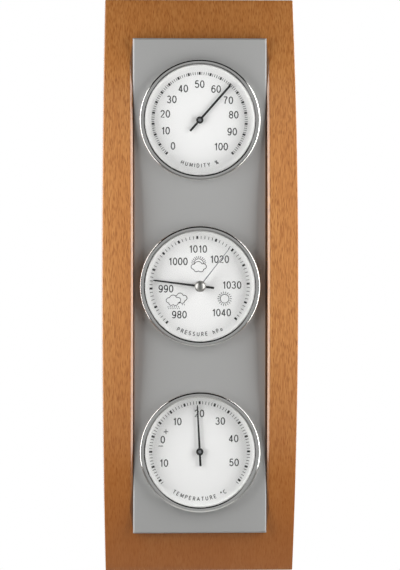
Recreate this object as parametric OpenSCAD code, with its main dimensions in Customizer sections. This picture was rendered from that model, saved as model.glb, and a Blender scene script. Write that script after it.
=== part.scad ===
// Wall weather station: a bowed beech body with a flat silver plate, which carries a hygrometer,
// an aneroid barometer and a thermometer, each in a glazed case of its own.
// X is to the right, Z is up, the wall is the plane y = 0 and the dials face -Y.
// The origin is the point where the wall screw bears in the keyhole.

/* [Wooden body] */
// Height of the body
body_h = 380; // [374:1:460]
// Width of the body at mid height
body_w = 129.5; // [112:0.5:170]
// How far each side swells between its ends and mid height
side_bow = 2.45; // [0.5:0.05:6]
// Thickness of the body at its top and bottom edges
end_t = 18; // [17:0.5:26]
// How far the front swells at mid height
front_bow = 18; // [16.5:0.5:24]
// Depth of the plate's slot at mid height
slot_depth = 13; // [10:0.5:14]
// Room between the wall and the backs of the cases
back_room = 5; // [4.5:0.1:6]

/* [Front plate] */
// Height of the plate
plate_h = 328; // [310:1:350]
// Width of the plate
plate_w = 88.5; // [84:0.5:108]
// Thickness of the plate
plate_t = 4; // [3.4:0.1:5]
// Width of the chamfer round the plate's front edge
plate_chamfer = 0.9; // [0.3:0.1:1.5]
// Gap between the plate and each side of its slot
slot_gap = 0.3; // [0.1:0.05:1]

/* [Instrument housings] */
// Distance from one dial's centre to the next
dial_pitch = 110; // [88:0.5:111]
// Outside diameter of a bezel
bezel_d = 80; // [66:0.5:83]
// Width of a bezel's rim, from its outside to its opening
rim_w = 3.5; // [2.9:0.1:5]
// Thickness of the glass
glass_t = 2; // [1.6:0.1:3]
// Thickness of a bezel's turned-in lip over the glass
lip_t = 0.5; // [0.3:0.05:1]
// Radius of the bead round a bezel
bead_r = 1.1; // [0.7:0.05:1.4]
// Wall of a bezel's skirt
skirt_t = 0.9; // [0.5:0.05:1.2]
// Wall of a case's tube
case_wall = 0.7; // [0.5:0.05:1.2]
// Thickness of a case's back
case_back_t = 0.8; // [0.6:0.05:1.2]
// Thickness of a case's flange, which lies on the plate
flange_t = 0.8; // [0.5:0.05:1.2]
// Gap between a case and its hole in the plate
hole_gap = 0.3; // [0.1:0.05:0.6]
// Gap between a case and its bore in the wood
bore_gap = 0.5; // [0.2:0.05:1.5]
// Depth of the dials below the front of the plate
dial_recess = 3.2; // [2.8:0.1:3.6]
// Thickness of a dial
dial_t = 0.6; // [0.4:0.05:1]
// Thickness of the ring between dial and glass
spacer_t = 0.5; // [0.3:0.05:0.8]

/* [Hands] */
// Room between a pointer's tip and the bezel's opening
tip_room = 5.3; // [3.5:0.1:10]
// Length of a pointer's tail
pointer_tail = 9.6; // [4:0.1:12]
// Thickness of a pointer
pointer_t = 0.3; // [0.2:0.05:0.5]
// Radius of a pointer's round boss
boss_r = 2.4; // [1.8:0.1:3]
// Radius of the bush in the middle of a pointer
hub_r = 1.05; // [0.8:0.05:1.3]
// Bearing of the hygrometer's pointer, clockwise from straight up
hygro_rest = 41.4; // [-135:0.1:135]
// Bearing of the barometer's pointer
baro_rest = -82.7; // [-135:0.1:130]
// Bearing of the thermometer's pointer
thermo_rest = -3; // [-126:0.1:126]
// Bearing of the barometer's set hand
set_rest = 38; // [-180:0.1:180]
// Room between the set hand's tip and the bezel's opening
set_room = 4.5; // [3.5:0.1:10]
// Radius of the set knob
knob_r = 3.75; // [3:0.05:5]
// Height of the set knob above the glass
knob_h = 4.2; // [3:0.1:6]

/* [Sensing coils] */
// Radius of a coil's inner turn
coil_r0 = 2.2; // [2.1:0.05:2.6]
// Radius of a coil's outer turn
coil_r1 = 11; // [9:0.1:13]
// Number of turns in a coil
coil_turns = 5; // [3:1:6]
// Thickness of a coil's strip
strip_t = 0.25; // [0.15:0.01:0.3]
// Width of a coil's strip
strip_w = 4; // [2:0.1:5]

/* [Aneroid movement] */
// Radius of the capsule
capsule_r = 15; // [12:0.5:18]
// Number of teeth on the pointer's pinion
pinion_teeth = 12; // [12:1:12]
// Teeth of the full circle that the sector is cut from
sector_teeth = 96; // [96:1:96]
// Pitch of the teeth as a gear module
gear_module = 0.3; // [0.26:0.01:0.36]
// Thickness of the base plate
base_t = 1.2; // [1:0.1:1.6]
// Thickness of each bearing plate
bearing_t = 0.8; // [0.6:0.05:1]

/* [Fixings] */
// Width of a retaining strap
strap_w = 12; // [10:0.5:14]
// Thickness of a retaining strap
strap_t = 1.5; // [1:0.1:2]
// Radius of the wood screws' shanks
screw_r = 1.4; // [1.2:0.05:1.6]
// Distance from the body's top edge to the point that hangs on the wall screw
hook_from_top = 22; // [19:0.5:22]
// Width of the hanger plate
hanger_w = 38; // [34:0.5:60]
// Height of the hanger plate
hanger_h = 20; // [18:0.5:20]
// Thickness of the hanger plate
hanger_t = 1.5; // [1:0.1:2]
// Radius of the keyhole's entry, for the wall screw's head
key_r = 4.5; // [4:0.1:4.8]
// Half the width of the keyhole's slot, for the wall screw's shank
key_slot_r = 2.4; // [2:0.1:2.6]
// Depth of the pocket behind the hanger plate
pocket_depth = 8; // [6:0.5:10]

/* [Clearances] */
// Radial clearance of a turning fit
run_gap = 0.05; // [0.02:0.01:0.1]
// Radial clearance of a pressed or threaded fit
press_gap = 0.02; // [0.01:0.01:0.05]
// End clearance of a turning piece
end_gap = 0.05; // [0.03:0.01:0.15]

/* [Hidden] */
$fn = 64;
// How far a cutting shape stands out past what it cuts
CUT = 1;
// Steps along each curved side of the body's outline, from mid height to an end
SIDE_STEPS = 16;

mid_t = end_t + front_bow;
slot_floor = mid_t - slot_depth;
plate_front = slot_floor + plate_t;
front_r = (pow(body_h / 2, 2) + pow(front_bow, 2)) / (2 * front_bow);
side_r = (pow(body_h / 2, 2) + pow(side_bow, 2)) / (2 * side_bow);
centre_z = hook_from_top - body_h / 2;

// Housings, seen from the dial: x to the right, y up and z out of the plate's front face
rim_gap = 0.1;
bezel_r = bezel_d / 2;
view_r = bezel_r - rim_w;
skirt_r = bezel_r - skirt_t;
flange_r = skirt_r - rim_gap;
glass_r = skirt_r - 3 * rim_gap;
ring_lap = 0.4;
case_in_r = view_r - ring_lap + spacer_t + rim_gap;
case_r = case_in_r + case_wall;
bore_r = case_r + bore_gap;
case_depth = plate_front - back_room;
case_floor = case_back_t - case_depth;
ledge_w = 1;
ledge_h = 1.2;
vent_r = 1.8;
vent_place_r = 24;
vent_angles = [30:30:150];
dial_front = -dial_recess;
dial_back = dial_front - dial_t;
glass_front = flange_t + glass_t;

// Hands
pointer_len = view_r - tip_room;
set_len = view_r - set_room;
pointer_w = 1.45;
point_len = 1.5;
point_w = 0.4;
boss_bottom = dial_front + 1.2;
boss_t = 0.8;
hub_foot = 0.3;
hub_top = boss_bottom + 1.1;
hub_cap_t = 0.4;
arbor_r = 0.4;
arbor_top = hub_top - hub_cap_t - end_gap;
set_top = flange_t - 0.25;
set_boss_t = 0.5;
set_boss_r = 2.2;
set_hand_t = 0.3;
set_root_w = 0.7;
set_tip_w = 0.44;
set_tail = 3;
set_rivet_r = 1;
stem_r = 1.5;
knob_foot = glass_front + 0.15;
knob_edge = 0.3;
knob_waist = 0.35;

// Adjusters and coils
bush_r = 1.5;
bush_flange_r = 2.7;
bush_flange_t = 1.2;
bush_stand = 0.5;
adjuster_r = 3;
adjuster_stand = 0.6;
collar_r = 5.2;
collar_t = 1;
collar_z = case_floor + end_gap;
clamp_r = 10.5;
clamp_t = 0.8;
clamp_hole_r = adjuster_r + 0.4;
clamp_in_r = collar_r + 0.1;
clamp_top = collar_z + collar_t + end_gap + clamp_t;
clamp_screw_y = 8;
arm_z = clamp_top + 0.2;
arm_t = 0.8;
post_w = 1.6;
slit_room = 0.1;
// A coil is drawn in straight chords of 15 degrees, so that its strip comes this far inwards in the slit
chord_dip = 0.15;
coil_z = dial_back - 4.2 - strip_w;
collet_r = coil_r0 - strip_t / 2 - 0.075;
collet_over = 0.2;

// Aneroid movement, from the pointer's arbor back to the base plate
pinion_r = gear_module * pinion_teeth / 2;
sector_r = gear_module * sector_teeth / 2;
gear_play = 0.05;
gear_c = pinion_r + sector_r + gear_play;
dedendum = 1.3 * gear_module;
addendum = gear_module;
top_plate_z = dial_back - 1.6 - bearing_t;
spring_w = 0.7;
spring_t = 0.2;
spring_r0 = 1.2;
spring_r1 = 6.2;
spring_turns = 6;
spring_z = top_plate_z - 2 * spring_w;
spring_collet_r = 1;
stud_r = 0.5;
sector_t = 0.8;
sector_hub_r = 1.5;
sector_z = spring_z - 1.8;
pinion_over = 0.2;
low_plate_z = sector_z - 1.4 - bearing_t;
tail_len = 3.2;
tail_w = 1.2;
tail_pin_r = 0.4;
tail_pin_top = sector_z + sector_t + 1.4;
window = [2.4, 6];
window_low = -2.5;
lug_t = 1.2;
lug_w = 3;
lug_drop = 1.1;
lug_x = [-gear_c - tail_len - window[0] / 2 - 0.3 - lug_t / 2, 4.4];
plate_len = 2 * (gear_c + tail_len + 5.55);
plate_wid = 18;
pillar_x = plate_len / 2 - 4;
pillar_y = 6;
pillar_r = 1.6;
pillar_neck_r = 1;
pillar_end_r = 0.8;
nut_r = 1.7;
nut_t = 0.8;
shaft_r = 0.7;
shaft_y = 1.8;
shaft_z = low_plate_z - 1;
shaft_over = 0.4;
short_arm = [1.6, 0.6];
long_arm_t = 1;
long_arm_top = sector_z + sector_t + 1.2;
base_top = case_floor + base_t;
base_screw_r = 24;
base_screw_angles = [40, 140, 270];
base_r = base_screw_r + 3;
bridge_z = base_top + 1;
bridge_w = 8;
bridge_t = 0.8;
rivet_y = capsule_r + 3;
rivet_r = 1.2;
rivet_head_r = 2.2;
rivet_head_t = 0.7;
capsule_z = bridge_z + bridge_t + 0.4;
capsule_top = shaft_z - 1.8;
capsule_stud_r = 1.3;
capsule_neck_r = 3;
capsule_post_r = 1.5;
capsule_post_h = 0.6;
capsule_rim = 1.5;
capsule_rim_t = 0.4;
wave_h = 0.25;
wave_r0 = 4;
WAVES = 4;
cal_y = -capsule_r;
cal_r = 1.6;
cal_slot_w = 0.6;
cal_slot_h = 0.7;
cal_stand = 0.4;

// Fixings
head_r = 2.7;
head_t = 1.8;
strap_screw_x = bore_r + 5.5;
strap_screw_len = 12;
strap_len = 2 * (strap_screw_x + 5.5);
strap_hole_r = adjuster_r + 1;
pilot_room = 0.5;
small_head_r = 1.5;
small_head_t = 0.8;
small_screw_r = 0.9;
hanger_in = 0.3;
hanger_gap = 0.2;
hanger_mid_z = -4;
hanger_screw_x = 13.5;
hanger_screw_len = 12;
hanger_sink = 0.8 * hanger_t;
key_drop = 6.5;
screw_slot_w = 0.7;
screw_slot_h = 0.6;

BEECH = "#c0824a";
SILVER = "#8f908c";
CHROME = "#d5d7da";
STEEL = "#9da1a6";
BRASS = "#c9a24d";
CLEAR = [0.85, 0.92, 0.95, 0.3];
WHITE = "#f4f4f2";
BLACK = "#1c1c1e";
GREY = "#8b8d90";
BLUED = "#5a6f9c";
HUMIDITY_STRIP = "#b9a98a";
BIMETAL = "#a8aeb3";

function polar(r, a) = [r * cos(a), r * sin(a)];
// Half width of the body at a height above its middle
function side_x(z) = sqrt(side_r * side_r - z * z) - side_r + body_w / 2;

// Places a housing's pieces: row 1 is the top dial, row 0 the middle one and row -1 the bottom one
module at_dial(row) {
    translate([0, -plate_front, centre_z + row * dial_pitch]) rotate([90, 0, 0]) children();
}

// Cuts a round hole right through what lies between z0 and z1
module hole(r, z0, z1) {
    translate([0, 0, z0 - CUT]) cylinder(r = r, h = z1 - z0 + 2 * CUT);
}

// A ring or disc round the z axis, open in the middle unless r0 is 0
module ring(r0, r1, z0, z1) {
    difference() {
        translate([0, 0, z0]) cylinder(r = r1, h = z1 - z0);
        if (r0 > 0) hole(r0, z0, z1);
    }
}

// A screw along z whose slotted head lies below z = 0 and whose shank stands above it
module screw(head, head_h, shank, length) {
    slot_w = head * 0.24;
    difference() {
        union() {
            ring(0, head, -head_h, 0);
            ring(0, shank, 0, length);
        }
        translate([-head - CUT, -slot_w / 2, -head_h - CUT])
            cube([2 * (head + CUT), slot_w, head_h / 2 + CUT]);
    }
}

// A flat strip wound in a spiral of 15 degree steps, its outer end at angle 0
module spiral(r0, r1, turns, thick, height) {
    step = 15;
    steps = turns * 360 / step;
    mid = [for (i = [0:steps]) r0 + (r1 - r0) * i / steps];
    out_side = [for (i = [0:steps]) polar(mid[i] + thick / 2, i * step)];
    in_side = [for (i = [steps:-1:0]) polar(mid[i] - thick / 2, i * step)];
    linear_extrude(height) polygon(concat(out_side, in_side));
}

// Gear teeth from the first to the last with straight flanks; their places are in tooth pitches
function teeth(count, pitch_r, first, last, phase) = [
    for (i = [first:last]) each [
        polar(pitch_r - dedendum, (i - 0.27 + phase) * 360 / count),
        polar(pitch_r + addendum, (i - 0.11 + phase) * 360 / count),
        polar(pitch_r + addendum, (i + 0.11 + phase) * 360 / count),
        polar(pitch_r - dedendum, (i + 0.27 + phase) * 360 / count)
    ]
];

// Body and plate

module bowed_blank() {
    z_steps = [for (i = [-SIDE_STEPS:SIDE_STEPS]) i * body_h / 2 / SIDE_STEPS];
    right = [for (z = z_steps) [side_x(z), z]];
    left = [for (i = [len(z_steps) - 1:-1:0]) [-side_x(z_steps[i]), z_steps[i]]];
    intersection() {
        rotate([90, 0, 0]) linear_extrude(mid_t) polygon(concat(right, left));
        rotate([90, 0, 90]) linear_extrude(body_w + 2 * CUT, center = true) intersection() {
            translate([-mid_t, -body_h / 2]) square([mid_t, body_h]);
            translate([front_r - mid_t, 0]) circle(r = front_r, $fn = 256);
        }
    }
}

// Bore, strap recess and pilot holes of one instrument
module instrument_cuts() {
    recess = [strap_len + 2 * bore_gap, strap_w + 2 * bore_gap, back_room + CUT];
    hole(bore_r, -plate_front, mid_t - plate_front);
    translate([-recess[0] / 2, -recess[1] / 2, -plate_front - CUT]) cube(recess);
    for (side = [-1, 1]) translate([side * strap_screw_x, 0, -case_depth - CUT])
        cylinder(r = screw_r + press_gap, h = CUT + strap_screw_len - strap_t + pilot_room);
}

// Recess of the hanger plate, the pocket for the wall screw's head and two pilot holes
module hanger_cuts() {
    recess = [hanger_w + 2 * hanger_gap, hanger_h + 2 * hanger_gap, hanger_in + hanger_t + CUT];
    pocket_low = -key_drop - key_r - CUT;
    pocket_top = key_slot_r + 3;
    rotate([90, 0, 0]) {
        translate([-recess[0] / 2, hanger_mid_z - recess[1] / 2, -CUT]) cube(recess);
        translate([-key_r - 2, pocket_low, 0]) cube([2 * key_r + 4, pocket_top - pocket_low, pocket_depth]);
        for (side = [-1, 1]) translate([side * hanger_screw_x, hanger_mid_z, 0])
            cylinder(r = screw_r + press_gap, h = hanger_in + hanger_screw_len + pilot_room);
    }
}

module wood_body() {
    slot_w = plate_w + 2 * slot_gap;
    color(BEECH) difference() {
        translate([0, 0, centre_z]) bowed_blank();
        translate([-slot_w / 2, -mid_t - CUT, centre_z - body_h / 2 - CUT])
            cube([slot_w, slot_depth + CUT, body_h + 2 * CUT]);
        for (row = [-1:1]) at_dial(row) instrument_cuts();
        hanger_cuts();
    }
}

// Section of the plate, with a chamfer at both front corners
module plate_section(width, height) {
    half = width / 2;
    polygon([
        [-half, 0], [half, 0], [half, height - plate_chamfer], [half - plate_chamfer, height],
        [-half + plate_chamfer, height], [-half, height - plate_chamfer]
    ]);
}

module front_plate() {
    color(SILVER) difference() {
        translate([0, -slot_floor, centre_z]) intersection() {
            translate([0, 0, -plate_h / 2]) linear_extrude(plate_h) mirror([0, 1])
                plate_section(plate_w, plate_t);
            rotate([90, 0, 90]) linear_extrude(plate_w + 2 * CUT, center = true) rotate(90)
                plate_section(plate_h, plate_t);
        }
        for (row = [-1:1]) at_dial(row) hole(case_r + hole_gap, -plate_t, 0);
    }
}

// Keyhole plate: the slot's round top is the place where the wall screw bears
module hanger_plate() {
    color(STEEL) rotate([90, 0, 0]) translate([0, 0, hanger_in]) difference() {
        translate([-hanger_w / 2, hanger_mid_z - hanger_h / 2, 0]) cube([hanger_w, hanger_h, hanger_t]);
        translate([0, -key_drop, 0]) hole(key_r, 0, hanger_t);
        hole(key_slot_r, 0, hanger_t);
        translate([-key_slot_r, -key_drop, -CUT]) cube([2 * key_slot_r, key_drop, hanger_t + 2 * CUT]);
        for (side = [-1, 1]) translate([side * hanger_screw_x, hanger_mid_z, 0]) {
            hole(screw_r + rim_gap, 0, hanger_t);
            cylinder(r1 = head_r + rim_gap, r2 = screw_r + rim_gap, h = hanger_sink);
        }
    }
}

// Two countersunk wood screws
module hanger_screws() {
    color(STEEL) rotate([90, 0, 0]) for (side = [-1, 1])
        translate([side * hanger_screw_x, hanger_mid_z, hanger_in + end_gap]) difference() {
            union() {
                cylinder(r1 = head_r, r2 = screw_r, h = hanger_sink);
                cylinder(r = screw_r, h = hanger_screw_len);
            }
            translate([-head_r - CUT, -screw_slot_w / 2, -CUT])
                cube([2 * (head_r + CUT), screw_slot_w, screw_slot_h + CUT]);
        }
}

// Flat spring-steel strap that lies on the wood and on the case's back, with a hole over the adjuster
module strap() {
    color(STEEL) translate([0, 0, -case_depth - strap_t]) difference() {
        translate([-strap_len / 2, -strap_w / 2, 0]) cube([strap_len, strap_w, strap_t]);
        hole(strap_hole_r, 0, strap_t);
        for (side = [-1, 1]) translate([side * strap_screw_x, 0, 0]) hole(screw_r + 2 * rim_gap, 0, strap_t);
    }
}

module strap_screws() {
    color(STEEL) for (row = [-1:1], side = [-1, 1]) at_dial(row)
        translate([side * strap_screw_x, 0, -case_depth - strap_t])
            screw(head_r, head_t, screw_r, strap_screw_len);
}

// Housings

// A spun can whose flange lies on the plate; an inside ledge carries the dial
module can() {
    rotate_extrude() polygon([
        [0, -case_depth], [case_r, -case_depth], [case_r, 0], [flange_r, 0], [flange_r, flange_t],
        [case_in_r, flange_t], [case_in_r, dial_back], [case_in_r - ledge_w, dial_back],
        [case_in_r - ledge_w, dial_back - ledge_h], [case_in_r, dial_back - ledge_h],
        [case_in_r, case_floor], [0, case_floor]
    ]);
}

// Case with air holes, the adjuster's hole and two screw holes
module vented_case() {
    color(STEEL) difference() {
        can();
        hole(adjuster_r + run_gap, -case_depth, case_floor);
        for (side = [-1, 1]) translate([0, side * clamp_screw_y, 0])
            hole(small_screw_r + press_gap, -case_depth, case_floor);
        for (a = vent_angles, half_turn = [0, 180]) rotate(a + half_turn) translate([vent_place_r, 0, 0])
            hole(vent_r, -case_depth, case_floor);
    }
}

// Case with the calibration screw's hole and three screw holes
module closed_case() {
    color(STEEL) difference() {
        can();
        translate([0, cal_y, 0]) hole(cal_r + 1, -case_depth, case_floor);
        for (a = base_screw_angles) rotate(a) translate([base_screw_r, 0, 0])
            hole(small_screw_r + press_gap, -case_depth, case_floor);
    }
}

// Pressed ring with a bead round it and a lip that is turned in over the glass
module bezel() {
    bead_x = bezel_r - bead_r;
    bead_z = glass_front + 0.3;
    lip_top = glass_front + lip_t;
    bead = [for (a = [0:15:150]) [bead_x, bead_z] + polar(bead_r, a)];
    color(CHROME) rotate_extrude() polygon(concat(
        [[skirt_r, 0], [bezel_r, 0]],
        bead,
        [
            [bead_x - bead_r - 0.2, lip_top + 0.1], [view_r + 0.5, lip_top + 0.2], [view_r, lip_top],
            [view_r, glass_front], [skirt_r, glass_front]
        ]
    ));
}

module glass(hole_r) {
    color(CLEAR) ring(hole_r, glass_r, flange_t, glass_front);
}

// Ring that keeps the glass off the dial
module spacer() {
    color(WHITE) ring(view_r - ring_lap, case_in_r - rim_gap, dial_front, flange_t);
}

module dial(hole_r) {
    color(WHITE) ring(hole_r, case_in_r - 2 * rim_gap, dial_back, dial_front);
}

// Hands

// A hand that points up: a blade that narrows towards its tip, with a straight tail
module blade(length, tail, root_w, tip_w, thick) {
    linear_extrude(thick) polygon([
        [-root_w / 2, -tail], [root_w / 2, -tail], [root_w / 2, 0],
        [tip_w / 2, length - point_len], [point_w / 2, length], [-point_w / 2, length],
        [-tip_w / 2, length - point_len], [-root_w / 2, 0]
    ]);
}

// A pointer with its round boss, at its bearing at rest
module pointer(rest, tip_w) {
    color(BLACK) rotate(-rest) translate([0, 0, boss_bottom]) difference() {
        union() {
            blade(pointer_len, pointer_tail, pointer_w, tip_w, pointer_t);
            cylinder(r = boss_r, h = boss_t);
        }
        hole(hub_r + press_gap, 0, boss_t);
    }
}

// The bush that is riveted into a pointer and pressed on the arbor, closed at its top
module hub() {
    bore_len = hub_top - hub_cap_t - boss_bottom + hub_foot + CUT;
    color(STEEL) difference() {
        ring(0, hub_r, boss_bottom - hub_foot, hub_top);
        translate([0, 0, boss_bottom - hub_foot - CUT]) cylinder(r = arbor_r + press_gap, h = bore_len);
    }
}

// Thin hand under the glass, riveted to the knob's stem
module baro_set_hand() {
    color(GREY) rotate(-set_rest) translate([0, 0, set_top - set_boss_t]) difference() {
        union() {
            cylinder(r = set_boss_r, h = set_boss_t);
            blade(set_len, set_tail, set_root_w, set_tip_w, set_hand_t);
        }
        hole(set_rivet_r + press_gap, 0, set_boss_t);
    }
}

// Turned knob: a straight foot and a domed cap, with the stem that goes through the glass
module baro_set_knob() {
    waist_z = knob_foot + knob_h * knob_waist;
    dome_h = knob_h * (1 - knob_waist);
    dome = [for (a = [0:15:90]) [knob_r * cos(a), waist_z + dome_h * sin(a)]];
    color(CHROME) rotate_extrude() polygon(concat(
        [[0, set_top - set_boss_t], [set_rivet_r, set_top - set_boss_t], [set_rivet_r, set_top]],
        [[stem_r, set_top], [stem_r, knob_foot]],
        [[knob_r - knob_edge, knob_foot], [knob_r, knob_foot + knob_edge]],
        dome
    ));
}

// Hygrometer and thermometer movements

// Flanged bearing behind the dial
module bush() {
    color(BRASS) difference() {
        union() {
            ring(0, bush_r, dial_back - bush_flange_t, dial_front + bush_stand);
            ring(0, bush_flange_r, dial_back - bush_flange_t, dial_back);
        }
        hole(arbor_r + run_gap, dial_back - bush_flange_t, dial_front + bush_stand);
    }
}

// Ring that holds the adjuster's collar against the case's back
module clamp() {
    color(BRASS) difference() {
        rotate_extrude() polygon([
            [clamp_in_r, case_floor], [clamp_r, case_floor], [clamp_r, clamp_top],
            [clamp_hole_r, clamp_top], [clamp_hole_r, clamp_top - clamp_t],
            [clamp_in_r, clamp_top - clamp_t]
        ]);
        for (side = [-1, 1]) translate([0, side * clamp_screw_y, 0])
            hole(small_screw_r + press_gap, case_floor, clamp_top);
    }
}

module clamp_screws() {
    color(STEEL) for (side = [-1, 1]) translate([0, side * clamp_screw_y, -case_depth])
        screw(small_head_r, small_head_t, small_screw_r, clamp_top + case_depth - 0.2);
}

// Slotted plug in the case's back; its arm carries the post that holds the coil's outer end
module adjuster() {
    plug_bottom = -case_depth - adjuster_stand;
    slit_in = coil_r1 - strip_t / 2 - slit_room - chord_dip;
    color(BRASS) difference() {
        union() {
            ring(0, adjuster_r, plug_bottom, arm_z + arm_t);
            ring(0, collar_r, collar_z, collar_z + collar_t);
            translate([0, -post_w / 2, arm_z]) cube([coil_r1 + post_w / 2, post_w, arm_t]);
            translate([coil_r1 - post_w / 2, -post_w / 2, arm_z])
                cube([post_w, post_w, coil_z + strip_w - arm_z]);
        }
        translate([0, 0, case_floor]) cylinder(r = arbor_r + run_gap, h = arm_z + arm_t - case_floor + CUT);
        translate([-adjuster_r - CUT, -small_screw_r / 2, plug_bottom - CUT])
            cube([2 * (adjuster_r + CUT), small_screw_r, CUT + adjuster_stand]);
        translate([slit_in, -post_w / 2 - CUT, coil_z - slit_room])
            cube([strip_t + 2 * slit_room + chord_dip, post_w / 2 + CUT + slit_room, strip_w + CUT]);
    }
}

module coil(tint) {
    color(tint) translate([0, 0, coil_z]) spiral(coil_r0, coil_r1, coil_turns, strip_t, strip_w);
}

// Pointer arbor with the collet that the coil's inner end goes round
module coil_arbor() {
    color(STEEL) union() {
        ring(0, arbor_r, collar_z + collet_over, arbor_top);
        ring(0, collet_r, coil_z - collet_over, coil_z + strip_w + collet_over);
    }
}

// Aneroid movement

module at_pillars() {
    for (sx = [-1, 1], sy = [-1, 1]) translate([sx * pillar_x, sy * pillar_y, 0]) children();
}

module at_base_screws() {
    for (a = base_screw_angles) rotate(a) translate([base_screw_r, 0, 0]) children();
}

// Round plate on the case's back, with a raised foot for the capsule's bridge
module baro_base_plate() {
    color(BRASS) difference() {
        union() {
            ring(0, base_r, case_floor, base_top);
            translate([-bridge_w / 2, rivet_y - bridge_w / 2, base_top])
                cube([bridge_w, bridge_w, bridge_z - base_top]);
        }
        translate([0, rivet_y, 0]) hole(rivet_r + press_gap, case_floor, bridge_z);
        translate([0, cal_y, 0]) hole(cal_r + run_gap, case_floor, base_top);
        at_base_screws() hole(small_screw_r + press_gap, case_floor, base_top);
        at_pillars() hole(pillar_end_r + press_gap, case_floor, base_top);
    }
}

module baro_base_screws() {
    color(STEEL) at_base_screws() translate([0, 0, -case_depth])
        screw(small_head_r, small_head_t, small_screw_r, case_back_t + base_t - 0.1);
}

// Springy strip that carries the capsule; the calibration screw lifts its free end
module baro_capsule_bridge() {
    low_y = cal_y - 3;
    length = rivet_y + bridge_w / 2 - low_y;
    color(STEEL) difference() {
        translate([-bridge_w / 2, low_y, bridge_z]) cube([bridge_w, length, bridge_t]);
        translate([0, rivet_y, 0]) hole(rivet_r + press_gap, bridge_z, bridge_z + bridge_t);
        hole(capsule_stud_r + press_gap, bridge_z, bridge_z + bridge_t);
    }
}

module baro_bridge_rivet() {
    color(BRASS) translate([0, rivet_y, 0]) union() {
        ring(0, rivet_r, case_floor + end_gap, bridge_z + bridge_t);
        ring(0, rivet_head_r, bridge_z + bridge_t, bridge_z + bridge_t + rivet_head_t);
    }
}

// Two corrugated discs soldered at their rim, with a stud below and a post above
module baro_capsule() {
    steps = 6 * WAVES;
    half = (capsule_top - capsule_z) / 2;
    mid_z = capsule_z + half;
    wave_r1 = capsule_r - capsule_rim - 0.5;
    wave = [
        for (i = [0:steps])
            [wave_r0 + (wave_r1 - wave_r0) * i / steps, half - wave_h * (1 - cos(i * 60))]
    ];
    color(BRASS) rotate_extrude() polygon(concat(
        [[0, bridge_z + end_gap], [capsule_stud_r, bridge_z + end_gap]],
        [[capsule_stud_r, bridge_z + bridge_t], [capsule_neck_r, bridge_z + bridge_t]],
        [[capsule_neck_r, capsule_z]],
        [for (w = wave) [w[0], mid_z - w[1]]],
        [[capsule_r - capsule_rim, mid_z - capsule_rim_t / 2], [capsule_r, mid_z - capsule_rim_t / 2]],
        [[capsule_r, mid_z + capsule_rim_t / 2], [capsule_r - capsule_rim, mid_z + capsule_rim_t / 2]],
        [for (i = [steps:-1:0]) [wave[i][0], mid_z + wave[i][1]]],
        [[capsule_neck_r, capsule_top], [capsule_post_r, capsule_top]],
        [[capsule_post_r, capsule_top + capsule_post_h], [0, capsule_top + capsule_post_h]]
    ));
}

// Four stepped pillars from the base plate through both bearing plates
module baro_pillars() {
    color(BRASS) at_pillars() union() {
        ring(0, pillar_end_r, case_floor + end_gap, base_top);
        ring(0, pillar_r, base_top, low_plate_z);
        ring(0, pillar_neck_r, low_plate_z, low_plate_z + bearing_t);
        ring(0, pillar_r, low_plate_z + bearing_t, top_plate_z);
        ring(0, pillar_end_r, top_plate_z, top_plate_z + bearing_t + nut_t);
    }
}

// Plate with bearings for the pointer's and the sector's arbors, and four pillar holes
module bearing_plate(z, pillar_hole_r) {
    difference() {
        translate([-plate_len / 2, -plate_wid / 2, z]) cube([plate_len, plate_wid, bearing_t]);
        for (x = [0, -gear_c]) translate([x, 0, 0]) hole(arbor_r + run_gap, z, z + bearing_t);
        at_pillars() hole(pillar_hole_r + press_gap, z, z + bearing_t);
    }
}

// Lower bearing plate with the two lugs of the rocking shaft and a window for its long arm
module baro_lower_plate() {
    color(BRASS) difference() {
        union() {
            bearing_plate(low_plate_z, pillar_neck_r);
            for (x = lug_x) translate([x - lug_t / 2, shaft_y - lug_w / 2, shaft_z - lug_drop])
                cube([lug_t, lug_w, low_plate_z - shaft_z + lug_drop + bearing_t / 2]);
        }
        for (x = lug_x) translate([x - lug_t, shaft_y, shaft_z]) rotate([0, 90, 0])
            cylinder(r = shaft_r + run_gap, h = 2 * lug_t);
        translate([-gear_c - tail_len - window[0] / 2, window_low, low_plate_z - CUT])
            cube([window[0], window[1], bearing_t + 2 * CUT]);
    }
}

// Upper bearing plate, with the hole that the hairspring's stud is driven in
module baro_top_plate() {
    color(BRASS) difference() {
        bearing_plate(top_plate_z, pillar_end_r);
        translate([spring_r1, 0, 0]) hole(stud_r + press_gap, top_plate_z, top_plate_z + bearing_t);
    }
}

module baro_plate_nuts() {
    nut_z = top_plate_z + bearing_t;
    color(STEEL) at_pillars() difference() {
        translate([0, 0, nut_z]) cylinder(r = nut_r, h = nut_t, $fn = 6);
        hole(pillar_end_r + press_gap, nut_z, nut_z + nut_t);
    }
}

// Rocking shaft: its short arm lies over the capsule's post and its long arm moves the sector's tail
module baro_rocker() {
    x0 = lug_x[0] - lug_t / 2 - shaft_over;
    x1 = lug_x[1] + lug_t / 2 + shaft_over;
    plate_top = low_plate_z + bearing_t;
    color(STEEL) union() {
        translate([x0, shaft_y, shaft_z]) rotate([0, 90, 0]) cylinder(r = shaft_r, h = x1 - x0);
        translate([-short_arm[0] / 2, -short_arm[0] / 2, shaft_z - short_arm[1] / 2])
            cube([short_arm[0], shaft_y + short_arm[0] / 2, short_arm[1]]);
        translate([-gear_c - tail_len - long_arm_t / 2, shaft_y, 0]) rotate([90, 0, 90])
            linear_extrude(long_arm_t) polygon([
                [-0.6, shaft_z], [0.6, shaft_z], [-0.2, plate_top],
                [-0.2, long_arm_top], [-1, long_arm_top], [-1, plate_top]
            ]);
    }
}

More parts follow.
